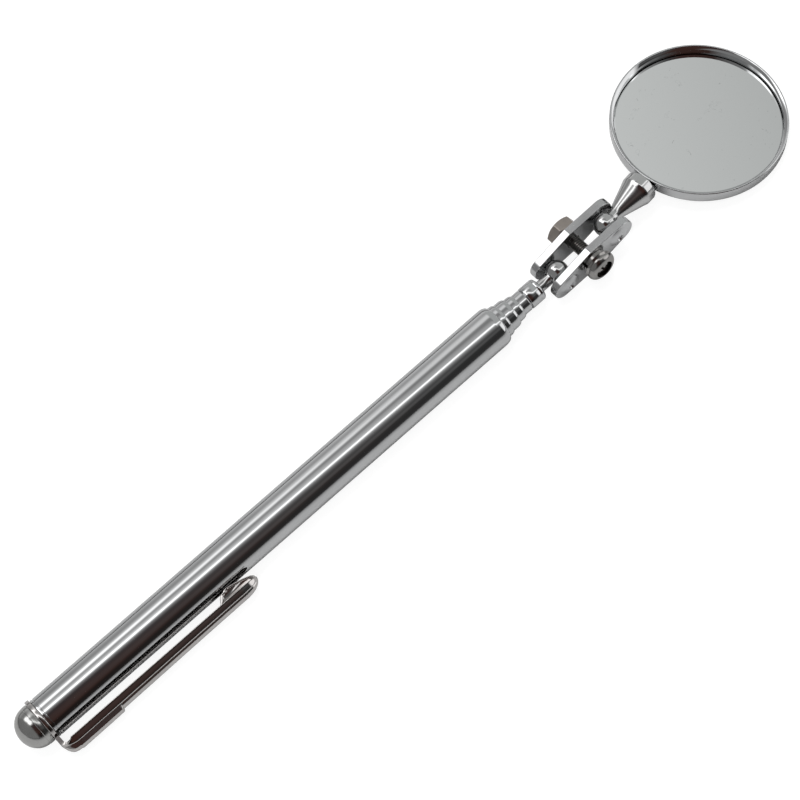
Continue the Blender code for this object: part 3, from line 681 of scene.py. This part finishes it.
def make_nut():
    start = -(PLATE_GAP / 2 + PLATE_THICKNESS + FACE_GAP)
    end = start - NUT_HEIGHT
    corner = NUT_ACROSS_FLATS / math.sqrt(3)
    outline = []
    for i in range(6):
        angle = math.radians(60 * i + NUT_TURN - CLAMP_RISE)
        outline.append((corner * math.cos(angle), corner * math.sin(angle)))
    hexagon = extruded(outline, end, start)
    nut = new_object("nut_body", hexagon, SCREW_FRAME @ Matrix.Rotation(-math.pi / 2, 4, "Z"))
    bevelled(nut, 0.12)
    baked(nut)
    mid = (start + end) / 2
    half = NUT_HEIGHT / 2
    flat = NUT_ACROSS_FLATS / 2
    barrel = [(mid - half, 0.0), (mid - half, flat * 0.97), (mid - half + 0.34, corner * 1.01),
              (mid + half - 0.34, corner * 1.01), (mid + half, flat * 0.97), (mid + half, 0.0)]
    round_off = new_object("barrel", turned(barrel, 96), SCREW_FRAME)
    carved(nut, [round_off], "INTERSECT")
    bore = [(start + 1, 0.0), (start + 1, SCREW_RADIUS + 0.3), (start - 0.25, SCREW_RADIUS + 0.05),
            (end + 0.25, SCREW_RADIUS + 0.05), (end - 1, SCREW_RADIUS + 0.9), (end - 1, 0.0)]
    hole = new_object("bore", turned(bore, 64), SCREW_FRAME)
    carved(nut, [hole])
    show(baked(nut, [round_off, hole]), "clamp", "nut_nickel", ["hex_nut"], sharp=26.0)


# Mirror head -------------------------------------------------------------------------------------

def make_stud():
    neck = 1.25
    meeting = math.degrees(math.asin(neck / BALL_RADIUS))
    ball = [(-BALL_RADIUS, 0.0)] + arc(0.0, 0.0, BALL_RADIUS, 180, meeting, 40)[1:]
    end = MIRROR_REACH - MIRROR_RADIUS - 0.1
    start, wide = (3.1, 1.3), (8.3, 2.84)
    cone = [(2.3, neck - 0.02), (2.8, neck)]
    for i in range(9):
        cone.append((start[0] + (wide[0] - start[0]) * i / 8, start[1] + (wide[1] - start[1]) * i / 8))
    cone += arc(9.3, STUD_RADIUS - 0.9, 0.9, 118, 92, 8)
    cone += [(9.32, STUD_RADIUS), (9.42, STUD_RADIUS)]
    foot = arc(end - 0.6, STUD_RADIUS - 0.6, 0.6, 88, 4, 10) + [(end, 0.0)]
    piece = new_object("ball_and_cone", turned(ball + cone + foot), STUD)
    show(piece, "mirror_ball", "ball_chrome", ["mirror_ball_stud"], sharp=20.0)


def make_cup():
    radius, back, inside = MIRROR_RADIUS, -MIRROR_DEPTH, MIRROR_RADIUS - MIRROR_WALL
    outline = [(back, 0.0)] + [(back, radius * i / 8) for i in range(1, 7)] + [(back, radius - 0.95)]
    outline += arc(back + 0.9, radius - 0.9, 0.9, 176, 92, 12)
    outline += [(-0.55, radius), (-0.3, radius)] + arc(-0.22, radius - 0.22, 0.22, 88, 4, 8)
    outline += [(-0.04, radius - 0.34), (-0.5, inside + 0.03)]
    outline += [(back + MIRROR_FLOOR, inside), (back + MIRROR_FLOOR, 0.0)]
    cup = new_object("mirror_cup", turned(outline, 256), DISC)
    show(cup, "mirror_head", "chrome_tube", ["mirror_frame"])


def make_glass():
    low, high, radius = -GLASS_RECESS - GLASS_THICKNESS, -GLASS_RECESS, MIRROR_RADIUS - MIRROR_WALL - 0.1
    outline = [(low, 0.0), (low, radius - 0.05), (low + 0.05, radius)]
    outline += [(high - 0.14, radius), (high, radius - 0.16)]
    outline += [(high, radius * (6 - i) / 7) for i in range(6)] + [(high, 0.0)]
    glass = new_object("mirror_plate", turned(outline, 256), DISC)
    show(glass, "mirror_head", "mirror_silver", ["mirror_glass"])


# Studio ------------------------------------------------------------------------------------------

def make_floor():
    """Pale floor: nearly even to the camera, and grey in the metal's reflections, with a painted light falloff
    that makes it darker further off.
    """
    bm = bmesh.new()
    bmesh.ops.create_circle(bm, cap_ends=True, radius=3000.0, segments=96)
    floor = new_object("studio_floor", bm, Matrix.Identity(4))
    tree = Tree("studio_floor")
    path = tree.nodes.new("ShaderNodeLightPath")
    seen = path.outputs["Is Camera Ray"]
    split = tree.nodes.new("ShaderNodeSeparateXYZ")
    tree.links.new(tree.coordinates, split.inputs[0])
    # Painted light falloff: in the metal's reflections the floor darkens with distance from Y = 0, a painted pool
    # of light.
    away = tree.math("MULTIPLY", tree.math("ABSOLUTE", split.outputs["Y"], 0.0), 1 / FLOOR_FALLOFF_REACH)
    grey = tree.ramp(away, [(0.0, 0.43), (0.10, 0.43), (0.18, 0.34), (0.32, 0.20), (0.6, 0.10), (1.0, 0.06)])
    mix = tree.nodes.new("ShaderNodeMix")
    mix.data_type = "RGBA"
    tree.links.new(seen, mix.inputs["Factor"])
    tree.links.new(grey, mix.inputs["A"])
    mix.inputs["B"].default_value = (FLOOR_SEEN, FLOOR_SEEN, FLOOR_SEEN, 1.0)
    tree.use("Base Color", mix.outputs["Result"])
    tree.shader.inputs["Emission Color"].default_value = (1.0, 1.0, 1.0, 1.0)
    tree.use("Emission Strength", tree.math("MULTIPLY", seen, FLOOR_GLOW))
    tree.shader.inputs["Roughness"].default_value = 0.95
    tree.shader.inputs["Specular IOR Level"].default_value = 0.0
    floor.data.materials.append(tree.material)


def make_light(name, place, aim, size, watts):
    light = bpy.data.lights.new(name, "AREA")
    light.shape = "DISK"
    light.size = size
    light.energy = watts
    lamp = bpy.data.objects.new(name, light)
    bpy.context.scene.collection.objects.link(lamp)
    lamp.location = place
    lamp.rotation_euler = (Vector(aim) - Vector(place)).to_track_quat("-Z", "Y").to_euler()
    lamp.visible_glossy = False
    lamp.visible_camera = False


def make_world():
    """Studio surround that the metal reflects: long lamps overhead, and a dark room in front of the tool.

    Bands of brightness follow the angle from straight up towards the front (-Y), in degrees. One set of
    bands stands at the handle's rear and another at its mouth, mixed by lean, the direction's X. The
    camera sees a plain grey instead, and so do matt surfaces."""
    world = bpy.data.worlds.new("studio")
    bpy.context.scene.world = world
    world.use_nodes = True
    nodes, links = world.node_tree.nodes, world.node_tree.links

    def node(kind, **settings):
        made = nodes.new(kind)
        for key, value in settings.items():
            setattr(made, key, value)
        return made

    def calc(operation, a, b=0.0, c=0.0, clamp=False):
        made = node("ShaderNodeMath", operation=operation, use_clamp=clamp)
        for socket, value in zip(made.inputs, (a, b, c)):
            if isinstance(value, (int, float)):
                socket.default_value = value
            else:
                links.new(value, socket)
        return made.outputs["Value"]

    def mix(factor, a, b):
        made = node("ShaderNodeMix", data_type="RGBA")
        links.new(factor, made.inputs["Factor"])
        for socket, value in ((made.inputs["A"], a), (made.inputs["B"], b)):
            if isinstance(value, tuple):
                socket.default_value = (*value, 1.0)
            else:
                links.new(value, socket)
        return made.outputs["Result"]

    def ramp(factor, stops):
        made = node("ShaderNodeValToRGB")
        elements = made.color_ramp.elements
        while len(elements) < len(stops):
            elements.new(0.5)
        for element, (degrees, color) in zip(elements, stops):
            element.position = (degrees + 90) / 180
            color = color if isinstance(color, tuple) else (color, color, color)
            element.color = (*(c / WORLD_STRENGTH for c in color), 1.0)
        links.new(factor, made.inputs["Fac"])
        return made.outputs["Color"]

    def window(value, low, high, soft):
        rise = calc("DIVIDE", calc("SUBTRACT", value, low), soft, clamp=True)
        fall = calc("DIVIDE", calc("SUBTRACT", high, value), soft, clamp=True)
        return calc("MULTIPLY", rise, fall)

    direction = node("ShaderNodeTexCoord").outputs["Generated"]
    split = node("ShaderNodeSeparateXYZ")
    links.new(direction, split.inputs[0])
    lean, y, z = split.outputs
    angle = calc("MULTIPLY", calc("ARCTAN2", calc("MULTIPLY", y, -1.0), z), 180 / math.pi)
    follows = calc("DIVIDE", calc("ADD", angle, 25.0), 20.0, clamp=True)
    fades = calc("DIVIDE", calc("SUBTRACT", 60.0, angle), 25.0, clamp=True)
    held = calc("MINIMUM", calc("MAXIMUM", lean, -0.1), 0.3)
    slant = calc("MULTIPLY", calc("SUBTRACT", held, 0.12), 85.0)
    slant = calc("MULTIPLY", calc("MULTIPLY", slant, follows), fades)
    warped = calc("DIVIDE", calc("ADD", calc("SUBTRACT", angle, slant), 90.0), 180.0, clamp=True)
    rear = ramp(warped, [
        (-90, 0.62), (-76, 0.40), (-66, 0.33), (-58, 0.36), (-50, 0.55), (-44, 1.1), (-39, 2.1),
        (-33, 2.1), (-28, 0.9), (-24, 0.52), (-18, 0.56), (-8, 0.8), (-1, 1.5), (3, 2.4), (8, 2.1),
        (12, 0.75), (17, 0.24), (24, (0.13, 0.11, 0.11)), (30, (0.04, 0.03, 0.03)),
        (45, (0.062, 0.034, 0.03)),
        (60, (0.062, 0.030, 0.024)), (72, (0.018, 0.010, 0.008)), (90, (0.014, 0.011, 0.011))])
    front = ramp(warped, [
        (-90, 0.78), (-78, 0.64), (-68, 0.50), (-60, 0.55), (-50, 0.86), (-42, 0.98), (-34, 0.92),
        (-28, 0.55), (-24, 0.34), (-20, 0.30), (-14, 0.48), (-6, 0.58), (0, 0.62), (4, 1.5), (7, 2.4),
        (11, 1.2), (15, 0.55),
        (20, 0.30), (26, 0.19), (33, 0.11), (40, 0.09), (48, 0.12), (56, 0.10), (62, 0.045), (78, 0.036),
        (90, 0.05)])
    studio = mix(calc("DIVIDE", lean, 0.2, clamp=True), rear, front)
    left = calc("MULTIPLY", window(lean, -0.42, -0.06, 0.08), window(angle, -52.0, 6.0, 8.0))
    studio = mix(left, studio, (0.85, 0.85, 0.85))
    studio = mix(calc("DIVIDE", calc("SUBTRACT", -0.36, lean), 0.12, clamp=True), studio, (0.09, 0.09, 0.09))
    side = calc("DIVIDE", calc("SUBTRACT", lean, 0.3), 0.12, clamp=True)
    studio = mix(calc("MULTIPLY", side, window(angle, -88.0, 26.0, 12.0)), studio, (0.178, 0.182, 0.180))
    end = calc("DIVIDE", calc("SUBTRACT", lean, 0.5), 0.1, clamp=True)
    studio = mix(calc("MULTIPLY", end, window(angle, 30.0, 130.0, 12.0)), studio, (0.45, 0.45, 0.45))
    behind = node("ShaderNodeLightPath")
    background = nodes["Background"]
    dimmed = mix(behind.outputs["Is Diffuse Ray"], studio, (MATT_GREY, MATT_GREY, MATT_GREY))
    backdrop = (BACKDROP_GREY, BACKDROP_GREY, BACKDROP_GREY)
    links.new(mix(behind.outputs["Is Camera Ray"], dimmed, backdrop), background.inputs["Color"])
    background.inputs["Strength"].default_value = WORLD_STRENGTH


def make_camera():
    camera = bpy.data.cameras.new("camera")
    camera.lens = CAMERA_LENS
    camera.sensor_width = CAMERA_SENSOR
    camera.clip_start = 0.01
    eye = bpy.data.objects.new("camera", camera)
    bpy.context.scene.collection.objects.link(eye)
    right, back = Vector(CAMERA_RIGHT), Vector(CAMERA_BACK)
    up = back.cross(right)
    turn = Matrix((right, up, back)).transposed().to_4x4()
    eye.matrix_world = Matrix.Translation(REAR + Vector(CAMERA_PLACE) * MM) @ turn
    bpy.context.scene.camera = eye


make_cap()
make_tube()
for number, bulge in ((2, 0.75), (3, 1.0), (4, 0.9), (5, 0.3)):
    make_stage(f"stage_{number}_tube", f"stage_{number}", bulge)
make_ferrule()
make_rod()
make_clip()
make_plate("plate_nut_side", 1, "nut_side_plate")
make_plate("plate_screw_side", -1, "screw_side_plate")
make_screw()
make_washer()
make_nut()
make_stud()
make_cup()
make_glass()
for number in (2, 3, 4, 5):
    sleeve = frame["nodes"][f"stage_{number}_sleeve"]
    sleeve.data.materials.clear()
    sleeve.data.materials.append(FINISHES["sleeve_brass"])
pad = frame["nodes"]["backing_pad"]
pad.data.materials.clear()
pad.data.materials.append(FINISHES["backing_foam"])

make_floor()
make_light("soft_top", (0.1, 0.35, 1.3), (0, 0, 0), 0.8, 18.0)
make_light("soft_front", (-0.4, -0.5, 1.2), (0, 0, 0), 0.8, 9.0)
make_world()
make_camera()
bpy.context.scene.view_settings.view_transform = "Standard"
